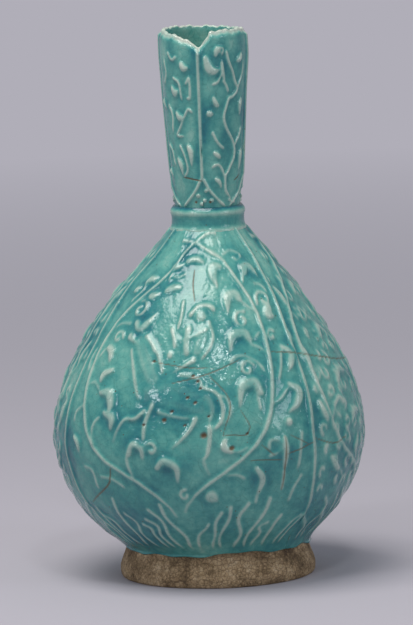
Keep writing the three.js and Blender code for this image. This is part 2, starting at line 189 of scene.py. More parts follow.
frontTwigs = [
    [(25, 182), (28, 187), (31, 190)], [(30, 128), (32.5, 134), (34, 139), (36, 145)], [(25, 114), (29, 117), (34, 124)],
    [(28, 74), (28, 62)], [(18, 60), (17.5, 55)], [(17, 190), (11, 192), (4, 191)], [(28, 166), (22, 171), (16, 175.5)],
    [(20, 112), (19.5, 119), (18, 125)], [(10, 139), (13, 142), (17, 142), (22, 138), (25, 132)],
    [(28, 155), (24, 152), (21, 150)], [(29, 142), (25, 146), (20, 149)], [(6, 74), (10, 73.5), (13, 71)], [(22, 84), (26, 86), (26.5, 92), (22.5, 93), (22, 87)],
    [(-48, 90), (-49, 98), (-47.5, 104), (-45, 107)], [(-44, 160), (-50, 159.5), (-54, 157)],
    [(-53, 172), (-49, 178), (-50, 182)], [(-46, 172), (-40, 175)], [(-57, 124), (-52, 126), (-47, 121)],
    [(-56, 140), (-54, 144), (-52, 146)], [(-30, 72), (-32, 82), (-31, 92)], [(-24, 193), (-30, 189), (-31, 184)],
    [(14, 90), (11, 88), (8, 88)], [(14, 198), (23, 200), (32, 197), (27, 194.5), (23, 196.5)],
    [(41, 176), (38, 180), (33, 181)], [(29, 150), (32, 152), (35, 150)], [(-30, 187), (-24, 186), (-18, 188)],
    [(-56, 112), (-60, 108), (-61, 102)], [(-60, 132), (-62, 138), (-61, 145)], [(-35, 66), (-40, 70), (-46, 71)],
    [(36, 96), (35, 86), (34, 74)], [(36, 70), (33, 62), (32, 54)], [(-49, 64), (-50, 74), (-55, 76)],
]
frontCurls = [
    (36, 172, 5.5, 1.1, 200, -1), (19, 162, 5.0, 1.2, 60, 1), (17, 135, 4.8, 1.2, 20, 1), (-42, 168, 5.0, 1.2, 120, -1),
    (-10, 62, 3.6, 1.0, 80, 1), (-22, 90, 4.2, 1.1, 160, -1), (33, 152, 3.4, 1.0, 40, 1), (-48, 152, 3.8, 1.1, 0, 1),
]
# The horse and its rider, each stroke with its half width and rise.
figureStrokes = [
    ([(-9, 166), (-5, 170.5), (1, 170.5), (4, 168)], 2.4, 1.9, evenTaper),
    ([(-4, 166.5), (-3, 164)], 5.0, 1.7, evenTaper),
    ([(-2, 158), (-2.5, 151), (-5, 145)], 6.6, 1.2, evenTaper),
    ([(1, 162), (3, 154), (1, 147), (-3, 141)], 1.5, 1.4, evenTaper),
    ([(-9, 158), (-9.5, 151), (-9, 144)], 3.6, 1.5, evenTaper),
    ([(0, 158), (-6, 154.5), (-12, 152), (-17, 154)], 2.4, 2.0, leafTaper),
    ([(-15, 173), (-14.2, 165), (-15, 158)], 1.4, 1.3, evenTaper),
    ([(-18, 158), (-16, 153), (-15, 148)], 1.7, 1.3, evenTaper), ([(-17, 144), (-16.8, 143.6)], 2.4, 1.6, evenTaper),
    ([(-6, 141), (-10, 138), (-15, 134)], 2.6, 1.8, leafTaper),
    ([(-40, 153), (-36, 150.5), (-31, 149)], 3.4, 1.8, leafTaper),
    ([(-33, 151), (-29, 143), (-25, 134), (-22, 127)], 7.0, 1.0, evenTaper),
    ([(-30, 154), (-25, 148), (-21, 140), (-19, 133)], 1.3, 1.3, evenTaper),
    ([(-37, 146), (-34, 138), (-31, 128), (-28, 118)], 1.3, 1.2, evenTaper),
    ([(-20, 112), (-12, 109), (-4, 108)], 1.2, 1.1, evenTaper),
    ([(-12, 133), (-5, 131), (-2, 127)], 1.3, 1.1, evenTaper),
    ([(-31, 154), (-27, 150), (-24, 145)], 1.6, 1.6, evenTaper),
    ([(-22, 122), (-14, 121), (-7, 118), (-2, 115)], 12.5, 1.0, evenTaper),
    ([(-1, 119), (1, 113), (0, 105)], 6.4, 1.0, leafTaper),
    ([(-3, 126), (3, 122.5), (5.4, 114), (4.4, 106), (1, 101)], 1.7, 1.6, evenTaper),
    ([(0, 103), (0, 96), (-1, 87), (-2.5, 83), (0, 73)], 2.0, 1.7, leafTaper),
    ([(-5, 108), (-7.5, 101), (-11, 95), (-14, 91)], 2.4, 1.6, leafTaper),
    ([(-22, 116), (-24.5, 106), (-25, 96), (-25, 83)], 2.4, 1.7, leafTaper),
    ([(-25, 112), (-29, 107.5), (-33, 107), (-36, 101), (-38, 93)], 2.3, 1.7, leafTaper),
    ([(3, 122), (7, 119), (8, 111), (5.5, 104)], 1.3, 1.3, evenTaper),
]
# The panels that the photograph doesn't show repeat the frame around a stem with paired leaves.
plainStem = [(0.0, 176), (0.03, 150), (-0.03, 120), (0.02, 96), (0.0, 72)]
plainPairs = [
    ([(0.36, 172), (0.30, 177), (0.16, 176)], 3.2), ([(0.42, 146), (0.36, 152), (0.2, 150)], 3.4),
    ([(0.5, 120), (0.42, 127), (0.24, 125)], 3.6), ([(0.42, 96), (0.36, 102), (0.2, 101)], 3.4),
    ([(0.84, 178), (0.78, 172), (0.76, 164)], 2.6), ([(0.88, 146), (0.84, 139), (0.82, 132)], 2.8),
    ([(0.88, 112), (0.84, 104), (0.8, 98)], 2.8), ([(0.78, 78), (0.7, 72), (0.6, 68)], 3.0),
    ([(0.5, 108), (0.6, 112), (0.7, 106)], 2.4), ([(0.3, 86), (0.36, 80), (0.3, 74)], 2.6),
]
frontCracks = [
    ([(30, 143), (42, 141), (58, 136)], 0.8), ([(-15, 128), (0, 133), (14, 140)], 0.7), ([(19, 91), (24, 84)], 0.7),
    ([(15, 82), (27, 81)], 0.6), ([(29, 84), (35, 86), (41, 89)], 0.7), ([(31, 95), (39, 88)], 0.6),
    ([(28.5, 95), (28, 62)], 1.0), ([(12, 112), (15, 103), (14, 98)], 0.6), ([(5, 98), (15, 97)], 0.6),
    ([(-40, 77), (-43, 66), (-57, 53)], 1.1), ([(-12, 190), (-11, 182), (-8, 173)], 0.9),
    ([(0, 133), (8, 118), (5, 98)], 0.6), ([(-24, 140), (-10, 137), (3, 136)], 0.6),
]
sideCracks = [([(42, 141), (58, 136), (72, 132), (85, 130)], 0.9), ([(42, 91), (52, 86), (60, 88)], 0.7)]
frontPits = [
    (-2, 98, 2.6), (8, 90, 2.0), (-17, 107, 1.7), (-8, 120, 1.2), (-14, 112, 1.1), (-25, 104, 1.1), (-6, 132, 1.3),
    (-4, 129, 1.1), (-3, 125, 1.0), (-5, 117, 1.2), (-24, 140, 1.1), (14, 98, 0.9), (0, 109, 0.9), (-9, 104, 0.9),
]


# Slanting root-like strokes round the base of a panel.
def flameStrokes(low, high, seed):
    draw = np.random.default_rng(seed)
    strokes = []
    middle = 0.5 * (low + high)
    angle = low + 4.0
    while angle < high - 3.0:
        lean = draw.uniform(3.0, 10.0) * (1 if angle > middle else -1)
        top = draw.uniform(40.0, 58.0)
        sway = draw.uniform(-2.6, 2.6)
        strokes.append(([(angle + lean, top), (angle + 0.55 * lean + sway, 0.5 * (top + 36.0)),
                         (angle + 0.3 * lean - sway, 34.0), (angle, 26.0)], draw.uniform(1.1, 1.9)))
        angle += draw.uniform(3.4, 7.4)
    return strokes


# A running mean along one axis, three times, which is close to a soft round blur.
def blurred(grid, steps, axis):
    out = grid
    for _ in range(3):
        padded = np.concatenate([np.repeat(np.take(out, [0], axis), steps, axis), out,
                                 np.repeat(np.take(out, [-1], axis), steps, axis)], axis)
        total = np.cumsum(padded, axis)
        first = np.take(total, range(2 * steps, total.shape[axis]), axis)
        start = np.concatenate([np.zeros_like(np.take(total, [0], axis)),
                                np.take(total, range(0, total.shape[axis] - 2 * steps - 1), axis)], axis)
        out = (first - start) / (2 * steps + 1)
    return out


def softened(grid, upSteps, acrossSteps):
    return blurred(blurred(grid, max(1, upSteps), 1), max(1, acrossSteps), 0)


# A slow unevenness, about -1 to 1, that joins up round the bottle.
def waveField(angles, heights, size, seed):
    draw = np.random.default_rng(seed)
    total = np.zeros(angles.shape)
    for _ in range(9):
        turns = int(draw.integers(1, max(2, int(560.0 / size))))
        rate = draw.uniform(-2.0, 2.0) * math.pi / size
        total += np.sin(np.radians(angles) * turns + heights * rate + draw.uniform(0.0, 6.28))
    return total / 4.0


def glazeHem(angles):
    turn = np.radians(angles)
    return 19.6 + 1.1 * np.sin(3 * turn + 0.6) + 0.7 * np.sin(7 * turn) + 0.4 * np.sin(17 * turn + 1.0)


# Quads are shaded smooth, the triangles that close a side flat.
def linkMesh(name, vertices, faces):
    mesh = bpy.data.meshes.new(name)
    mesh.from_pydata([], [], [])
    mesh.vertices.add(len(vertices))
    mesh.vertices.foreach_set("co", (np.asarray(vertices, np.float32) * perMetre).ravel())
    quads = np.asarray([f for f in faces if len(f) == 4], np.int32)
    rest = [f for f in faces if len(f) != 4]
    total = 4 * len(quads) + sum(len(f) for f in rest)
    corners = np.concatenate([quads.ravel()] + [np.asarray(f, np.int32) for f in rest])
    starts = np.concatenate([np.arange(len(quads)) * 4,
                             4 * len(quads) + np.cumsum([0] + [len(f) for f in rest[:-1]])]) if rest else np.arange(len(quads)) * 4
    mesh.loops.add(total)
    mesh.loops.foreach_set("vertex_index", corners)
    mesh.polygons.add(len(quads) + len(rest))
    mesh.polygons.foreach_set("loop_start", starts.astype(np.int32))
    mesh.update(calc_edges=True)
    mesh.polygons.foreach_set("use_smooth", [True] * len(quads) + [False] * len(rest))
    mesh.update()
    mesh.validate()
    item = bpy.data.objects.new(name, mesh)
    bpy.context.scene.collection.objects.link(item)
    return item


def writeAttribute(item, name, values):
    layer = item.data.attributes.new(name, "FLOAT", "POINT")
    layer.data.foreach_set("value", np.asarray(values, np.float32).ravel())


# Closes a side by short triangles between its outer and inner run, so that it follows a seam that bends.
def sideStrip(loop, outerCount):
    outer = loop[:outerCount]
    inner = loop[outerCount:][::-1]
    faces = []
    i = 0
    j = 0
    while i < len(outer) - 1 or j < len(inner) - 1:
        outerNext = (i + 1) / (len(outer) - 1) if i < len(outer) - 1 else 2.0
        innerNext = (j + 1) / (len(inner) - 1) if j < len(inner) - 1 else 2.0
        if outerNext <= innerNext:
            faces.append((outer[i], outer[i + 1], inner[j]))
            i += 1
        else:
            faces.append((outer[i], inner[j + 1], inner[j]))
            j += 1
    return faces


# A closed skin over columns of equal loops; an open run of columns is capped at both ends.
def loopGrid(name, loops, closed, outerCount=0):
    columns, count = loops.shape[:2]
    index = np.arange(columns * count).reshape(columns, count)
    nextColumn = np.roll(index, -1, 0) if closed else index[1:]
    here = index if closed else index[:-1]
    faces = np.stack([here, nextColumn, np.roll(nextColumn, -1, 1), np.roll(here, -1, 1)], -1).reshape(-1, 4)
    allFaces = [tuple(f) for f in faces.tolist()]
    if not closed:
        allFaces += sideStrip(index[0].tolist(), outerCount)
        allFaces += [face[::-1] for face in sideStrip(index[-1].tolist(), outerCount)]
    return linkMesh(name, loops.reshape(-1, 3), allFaces)


def place(centre, radius, angles, heights):
    turn = np.radians(angles)
    return np.stack([centre + radius * np.sin(turn), -radius * np.cos(turn), heights + 0 * turn], -1)


# One gore: a dense outside with its relief, a plainer inside, and the paint values that follow the relief.
def panelMesh(name, seamLeft, seamRight, columns, rows, strokes, leaves, curls, figure, cracks, pits, seed):
    u = np.linspace(0.0, 1.0, columns)[:, None]
    v = np.linspace(0.0, 1.0, rows)[None, :]
    top = 212.0
    roughHeights = 20.0 + (top - 20.0) * v + 0 * u
    angles = seamLeft(roughHeights) + (seamRight(roughHeights) - seamLeft(roughHeights)) * u
    hem = glazeHem(angles[:, :1])
    heights = hem + (top - hem) * v
    angles = seamLeft(heights) + (seamRight(heights) - seamLeft(heights)) * u
    field = np.zeros(angles.shape)
    for seam in (seamLeft, seamRight):
        edgeDistance = np.abs(angles - seam(heights)) * math.radians(1.0) * bodyRadius(heights)
        rib = 1.7 * (1.0 - smoothStep(edgeDistance, 0.2, 1.8)) * smoothStep(heights, 34.0, 60.0)
        field = np.maximum(field, rib)
    for path, width, rise in strokes:
        addStroke(field, angles, heights, bodyRadius, path, width, rise, evenTaper, 26)
    for path, width in leaves:
        taper = hookTaper if len(path) > 2 else leafTaper
        addStroke(field, angles, heights, bodyRadius, path, width * 1.4, 1.9, taper, 16)
    for angle, height, size, turns, start, hand in curls:
        addStroke(field, angles, heights, bodyRadius, spiralPath(angle, height, size, turns, start, hand), 1.35, 1.4, evenTaper, 20)
    for path, width, rise, taper in figure:
        addStroke(field, angles, heights, bodyRadius, path, width, rise, taper, 14)
    stepAcross = float((angles[-1] - angles[0]).mean()) / columns * math.radians(1.0) * 88.0
    stepUp = (top - 20.0) * 1.3 / rows
    soft = softened(field, int(0.55 / stepUp), int(0.55 / stepAcross))
    wide = softened(field, int(3.4 / stepUp), int(3.4 / stepAcross))
    tight = softened(soft, int(1.5 / stepUp), int(1.5 / stepAcross))
    # Painted shade with glaze pooling: darker in the recesses round the relief, where glaze lies thicker and shade
    # falls, and painted shade darker towards the bottom of the body.
    poolAndShade = np.clip(0.46 + 0.34 * (wide - 0.75 * soft) + 0.13 * waveField(angles, heights, 60.0, 11)
                   + 0.12 * (1.0 - smoothStep(heights, 30.0, 130.0)), 0.0, 1.0)
    stain = np.zeros(angles.shape)
    for path, width in cracks:
        addStroke(stain, angles, heights, bodyRadius, path, 0.85 * width, 0.8, hairTaper, 16)
    hollow = np.zeros(angles.shape)
    for angle, height, size in pits:
        addStroke(hollow, angles, heights, bodyRadius, [(angle - 0.3, height), (angle + 0.3, height + 0.3)], size, 1.0, evenTaper, 4)
    lift = soft + 0.35 * waveField(angles, heights, 46.0, 12) + 0.2 * waveField(angles, heights, 16.0, 13)
    lift = lift + 0.07 * waveField(angles, heights, 6.0, 14)
    lift = lift - 0.25 * stain - 0.9 * hollow
    base = np.maximum(bodyRadius(heights), 0.0)
    hemRoll = 0.9 * np.exp(-((heights - hem) / 2.6) ** 2)
    footSkin = 0.5 + 0 * heights
    outer = place(bodyCentre(heights), base + lift + hemRoll * 0.8 + footSkin * (1 - smoothStep(heights, 20.0, 30.0)), angles, heights)
    innerRows = 22
    w = np.linspace(1.0, 0.0, innerRows)[None, :]
    innerHeights = 22.0 + (top - 22.0) * w + 0 * u
    innerAngles = seamLeft(innerHeights) + (seamRight(innerHeights) - seamLeft(innerHeights)) * u
    slope = (bodyRadius(innerHeights + 1.0) - bodyRadius(innerHeights - 1.0)) / 2.0
    inner = place(bodyCentre(innerHeights), bodyRadius(innerHeights) - 5.0 * np.sqrt(1 + slope ** 2), innerAngles, innerHeights)
    item = loopGrid(name, np.concatenate([outer, inner], 1), False, rows)
    still = np.zeros((columns, innerRows))
    writeAttribute(item, "poolAndShade", np.concatenate([poolAndShade, still + 0.6], 1))
    writeAttribute(item, "stain", np.concatenate([np.clip(stain + hollow, 0, 1), still], 1))
    # Crests of the relief made paler: thin glaze over the crests and a painted highlight along them.
    crest = np.clip((soft - tight) / 0.26, 0, 1)
    writeAttribute(item, "ridgePaleAndHighlight", np.concatenate([crest, still], 1))
    return item


def finishPiece(piece, body, nodes, material):
    piece.data.materials.clear()
    piece.data.materials.append(material)
    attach(piece, body)
    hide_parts(*nodes)


def linear(hexColour):
    channels = [int(hexColour[i:i + 2], 16) / 255.0 for i in (0, 2, 4)]
    return tuple(c / 12.92 if c <= 0.04045 else ((c + 0.055) / 1.055) ** 2.4 for c in channels) + (1.0,)


def nodeAdder(material):
    material.use_nodes = True
    tree = material.node_tree
    tree.nodes.clear()

    def add(kind, inputs=None, **settings):
        node = tree.nodes.new(kind)
        for key, value in settings.items():
            setattr(node, key, value)
        for key, value in (inputs or {}).items():
            if isinstance(value, bpy.types.NodeSocket):
                tree.links.new(value, node.inputs[key])
            else:
                node.inputs[key].default_value = value
        return node

    return tree, add


def rampStops(node, stops):
    elements = node.color_ramp.elements
    while len(elements) < len(stops):
        elements.new(0.5)
    for element, (position, colour) in zip(elements, stops):
        element.position = position
        element.color = linear(colour) if isinstance(colour, str) else (colour, colour, colour, 1.0)


def millimetres(add):
    where = add("ShaderNodeTexCoord")
    return add("ShaderNodeVectorMath", {0: where.outputs["Object"], 3: 1000.0}, operation="SCALE").outputs[0]


def glazeMaterial():
    material = bpy.data.materials.new("turquoise_alkaline_glaze")
    tree, add = nodeAdder(material)
    spot = millimetres(add)
    poolAndShade = add("ShaderNodeAttribute", attribute_name="poolAndShade").outputs["Fac"]
    stain = add("ShaderNodeAttribute", attribute_name="stain").outputs["Fac"]
    ridgePaleAndHighlight = add("ShaderNodeAttribute", attribute_name="ridgePaleAndHighlight").outputs["Fac"]
    cloud = add("ShaderNodeTexNoise", {"Vector": spot, "Scale": 0.045, "Detail": 5.0, "Roughness": 0.6})
    mottle = add("ShaderNodeTexNoise", {"Vector": spot, "Scale": 0.22, "Detail": 4.0, "Roughness": 0.65})
    # The glaze tone deepens with poolAndShade, glaze pooling and painted shade together, and with the mottling noise;
    # depth here is that sum, not glaze thickness alone.
    shifted1 = add("ShaderNodeMath", {0: cloud.outputs["Fac"], 1: 0.62, 2: poolAndShade}, operation="MULTIPLY_ADD").outputs[0]
    shifted2 = add("ShaderNodeMath", {0: mottle.outputs["Fac"], 1: 0.4, 2: shifted1}, operation="MULTIPLY_ADD").outputs[0]
    depth = add("ShaderNodeMath", {0: shifted2, 1: 0.5}, operation="SUBTRACT", use_clamp=True).outputs[0]
    tone = add("ShaderNodeValToRGB", {"Fac": depth})
    rampStops(tone, [(0.0, "bfcabd"), (0.2, "93bdb0"), (0.42, "62a79d"), (0.58, "43918d"), (0.76, "26757d"), (1.0, "195766")])
    # Crests mixed towards a pale grey-green: thin glaze over the crests and a painted highlight.
    crestPaleAndHighlight = add("ShaderNodeMath", {0: ridgePaleAndHighlight, 1: 0.5}, operation="MULTIPLY", use_clamp=True).outputs[0]
    ridgeMix = add("ShaderNodeMix", {"Factor": crestPaleAndHighlight, 6: tone.outputs["Color"], 7: linear("c2cbbf")}, data_type="RGBA")
    # Crazing: a fine net of cracks under the surface.
    craze = add("ShaderNodeTexVoronoi", {"Vector": spot, "Scale": 0.17, "Randomness": 1.0}, feature="DISTANCE_TO_EDGE")
    crazeLine = add("ShaderNodeMapRange", {"Value": craze.outputs["Distance"], "From Min": 0.0, "From Max": 0.03,
                                           "To Min": 0.34, "To Max": 0.0})
    crazed = add("ShaderNodeMix", {"Factor": crazeLine.outputs["Result"], 6: ridgeMix.outputs[2], 7: linear("2d6a66")},
                 data_type="RGBA")
    # Pinholes where the glaze boiled.
    pinhole = add("ShaderNodeTexVoronoi", {"Vector": spot, "Scale": 0.21, "Randomness": 1.0}, feature="F1")
    pinSpot = add("ShaderNodeMapRange", {"Value": pinhole.outputs["Distance"], "From Min": 0.05, "From Max": 0.11,
                                         "To Min": 1.0, "To Max": 0.0})
    rare = add("ShaderNodeTexNoise", {"Vector": spot, "Scale": 0.03, "Detail": 2.0})
    rareMask = add("ShaderNodeMapRange", {"Value": rare.outputs["Fac"], "From Min": 0.5, "From Max": 0.62})
    pins = add("ShaderNodeMath", {0: pinSpot.outputs["Result"], 1: rareMask.outputs["Result"]}, operation="MULTIPLY").outputs[0]
    pinned = add("ShaderNodeMix", {"Factor": pins, 6: crazed.outputs[2], 7: linear("54452f")}, data_type="RGBA")
    stained = add("ShaderNodeMix", {"Factor": stain, 6: pinned.outputs[2], 7: linear("5c4a30")}, data_type="RGBA")
    rough = add("ShaderNodeMapRange", {"Value": mottle.outputs["Fac"], "From Min": 0.3, "From Max": 0.75,
                                       "To Min": 0.05, "To Max": 0.16})
    roughWorn = add("ShaderNodeMath", {0: stain, 1: 0.4, 2: rough.outputs["Result"]}, operation="MULTIPLY_ADD").outputs[0]
    orangePeel = add("ShaderNodeTexNoise", {"Vector": spot, "Scale": 0.5, "Detail": 3.0, "Roughness": 0.5})
    bumpA = add("ShaderNodeBump", {"Height": orangePeel.outputs["Fac"], "Strength": 0.35, "Distance": 0.0006})
    bumpB = add("ShaderNodeBump", {"Height": pins, "Strength": 0.6, "Distance": 0.0005, "Normal": bumpA.outputs["Normal"]},
                invert=True)
    shader = add("ShaderNodeBsdfPrincipled", {"Base Color": stained.outputs[2], "Roughness": roughWorn, "IOR": 1.52,
                                              "Normal": bumpB.outputs["Normal"]})
    add("ShaderNodeOutputMaterial", {"Surface": shader.outputs[0]})
    return material


def stonepasteMaterial():
    material = bpy.data.materials.new("bare_stonepaste")
    tree, add = nodeAdder(material)
    spot = millimetres(add)
    cloud = add("ShaderNodeTexNoise", {"Vector": spot, "Scale": 0.07, "Detail": 7.0, "Roughness": 0.72})
    grain = add("ShaderNodeTexNoise", {"Vector": spot, "Scale": 0.7, "Detail": 5.0, "Roughness": 0.7})
    mixed = add("ShaderNodeMath", {0: grain.outputs["Fac"], 1: 0.5, 2: cloud.outputs["Fac"]}, operation="MULTIPLY_ADD").outputs[0]
    tone = add("ShaderNodeValToRGB", {"Fac": add("ShaderNodeMath", {0: mixed, 1: 0.25}, operation="SUBTRACT").outputs[0]})
    rampStops(tone, [(0.3, "4c3b2a"), (0.44, "8b7454"), (0.56, "b69c78"), (0.7, "d8c3a2")])
    net = add("ShaderNodeTexVoronoi", {"Vector": spot, "Scale": 0.38, "Randomness": 1.0}, feature="DISTANCE_TO_EDGE")
    netLine = add("ShaderNodeMapRange", {"Value": net.outputs["Distance"], "From Min": 0.0, "From Max": 0.09,
                                         "To Min": 0.55, "To Max": 0.0})
    lined = add("ShaderNodeMix", {"Factor": netLine.outputs["Result"], 6: tone.outputs["Color"], 7: linear("4d3e30")},
                data_type="RGBA")
    height = add("ShaderNodeMath", {0: netLine.outputs["Result"], 1: -1.0, 2: grain.outputs["Fac"]},
                 operation="MULTIPLY_ADD").outputs[0]
    bump = add("ShaderNodeBump", {"Height": height, "Strength": 0.7, "Distance": 0.0009})
    shader = add("ShaderNodeBsdfPrincipled", {"Base Color": lined.outputs[2], "Roughness": 0.82,
                                              "Normal": bump.outputs["Normal"]})
    add("ShaderNodeOutputMaterial", {"Surface": shader.outputs[0]})
    return material


glaze = glazeMaterial()
stonepaste = stonepasteMaterial()


# The frame, stem, leaves and flames of a panel that repeats the mould, by share of its half width.
def plainPanelParts(seamLeft, seamRight, seed):
    left = float(seamLeft(120.0))
    right = float(seamRight(120.0))
    middle = (left + right) / 2
    half = (right - left) / 2
    frontMiddle = -11.75
    frontHalf = 53.75
    strokes = [([(middle + (a - frontMiddle) / frontHalf * half, z) for a, z in stem], 1.9, 1.7) for stem in ogeeStems]
    strokes.append(([(middle + s * half, z) for s, z in plainStem], 1.6, 1.4))
    leaves = []
    for path, width in plainPairs:
        for side in (-1, 1):
            leaves.append(([(middle + side * s * half, z) for s, z in path], width * 0.9))
            strokes.append(([(middle + side * path[-1][0] * half, path[-1][1]),
                             (middle + side * (path[-1][0] - 0.1) * half, path[-1][1] - 6.0)], 1.1, 1.1))
    strokes += [(path, width, 1.2) for path, width in flameStrokes(left, right, seed)]
    curls = [(middle + side * 0.55 * half, z, 4.4, 1.1, 90, side) for z in (160, 134, 88) for side in (-1, 1)]
    draw = np.random.default_rng(seed + 4)
    for z in range(62, 196, 11):
        for share in np.arange(-0.86, 0.87, 11.0 / (math.radians(half) * float(bodyRadius(z)))):
            curls.append((middle + (share + draw.uniform(-0.05, 0.05)) * half, z + draw.uniform(-3.0, 3.0),
                          draw.uniform(2.6, 4.2), draw.uniform(0.6, 1.1), draw.uniform(0, 360), draw.choice((-1, 1))))
    return strokes, leaves, curls


print("body panels")
frontStrokes = [(stem, 1.5, 1.5) for stem in ogeeStems] + [(twig, 1.05, 1.1) for twig in frontTwigs]
frontStrokes += [(path, width, 1.2) for path, width in flameStrokes(-62.0, 42.0, 3)]
finishPiece(
    panelMesh("body_gore_front", seamFrontLeft, seamFrontRight, 262, 322, frontStrokes, frontLeaves, frontCurls,
              figureStrokes, frontCracks, frontPits, 11),
    "root", ["body_panel_front", "body_rib_front_left"], glaze)
sides = [
    ("right", seamFrontRight, seamBackRight, ["body_panel_right", "body_rib_front_right"], sideCracks, 21),
    ("back", seamBackRight, seamBackLeft, ["body_panel_back", "body_rib_back_right"], [], 31),
    ("left", seamBackLeft, shifted(seamFrontLeft, 360.0), ["body_panel_left", "body_rib_back_left"], [], 41),
]
for side, seamLeft, seamRight, nodes, cracks, seed in sides:
    strokes, leaves, curls = plainPanelParts(seamLeft, seamRight, seed)
    finishPiece(
        panelMesh("body_gore_" + side, seamLeft, seamRight, 190, 250, strokes, leaves, curls, [], cracks, [], seed),
        "root", nodes, glaze)

print("neck")
neckCentre = 3.0
neckFirstRib = -7.5
rimPoints = [(-180, 330.6), (-120, 331.4), (-70, 329.6), (-40, 328), (-20, 325), (-8, 322), (0, 324), (8, 328),
             (15, 330.8), (60, 331.2), (110, 330.2), (180, 330.6)]
# Strokes on a facet are placed by angle from the rib at its left.
vineRight = [[(40, 318), (44, 312), (51, 306), (56, 300), (61, 295), (52, 291), (45, 290), (40, 285), (36, 279), (40, 273),
              (47, 268), (53, 264), (57, 259), (56, 254), (51, 250), (45, 246), (39, 243), (40, 235), (47, 231.5), (53, 229.5)]]
facetTwigs = [
    [(22, 319), (28, 321), (35, 320), (33, 316)], [(35, 301), (40, 298), (44, 294)], [(34, 308), (28, 301), (19, 299)],
    [(39, 241), (35, 246), (30, 249.5), (24, 250.5), (16, 249)], [(18, 270), (24, 265), (30, 262), (37, 260)],
    [(60, 295), (66, 299), (72, 304), (75, 311)], [(58, 262), (66, 266), (72, 272)], [(48, 229), (56, 227), (64, 227)],
]
facetLeaves = [
    ([(10, 315), (14, 309), (22, 307), (31, 308)], 3.4), ([(33, 312), (34, 306), (38, 300)], 1.8), ([(24, 316.5), (27, 320), (32, 317)], 2.4), ([(14, 281.5), (19, 281)], 2.2),
    ([(20, 291), (24, 287), (28, 286)], 2.0), ([(70, 289), (67, 285), (68, 279)], 2.2), ([(73, 258), (70, 253), (70, 246)], 2.2),
    ([(68, 316), (64, 313), (58, 312)], 2.2), ([(22, 242), (28, 240), (33, 236)], 1.8), ([(20, 258), (26, 256), (30, 254)], 1.8),
]
leftFacetTwigs = [
    [(50, 303), (60, 300), (63, 290)], [(72, 300), (77, 303), (77, 292), (72, 291)], [(78, 283), (72, 284), (60, 275),
     (50, 268.5), (63, 268)], [(42, 318), (50, 314), (58, 316)], [(54, 262), (62, 256), (66, 248), (58, 243)],
    [(35, 286), (42, 280), (40, 270)], [(28, 300), (34, 306), (30, 314)], [(26, 262), (34, 258), (38, 250)],
]
leftFacetLeaves = [
    ([(46, 297), (52, 294), (58, 296)], 3.0), ([(66, 312), (70, 309), (76, 310)], 2.6), ([(52, 282), (58, 279), (62, 281)], 2.6),
    ([(70, 262), (74, 258), (74, 250)], 2.4), ([(48, 254), (54, 250), (56, 244)], 2.4), ([(20, 288), (26, 284)], 2.4),
    ([(22, 246), (28, 243)], 2.2),
]


def rimEdge(angles):
    line = curveOf(rimPoints)
    turn = (angles + 180.0) % 360.0 - 180.0
    return line(turn) + 0.35 * np.sin(np.radians(turn) * 13.0) + 0.25 * np.sin(np.radians(turn) * 29.0 + 1.0)


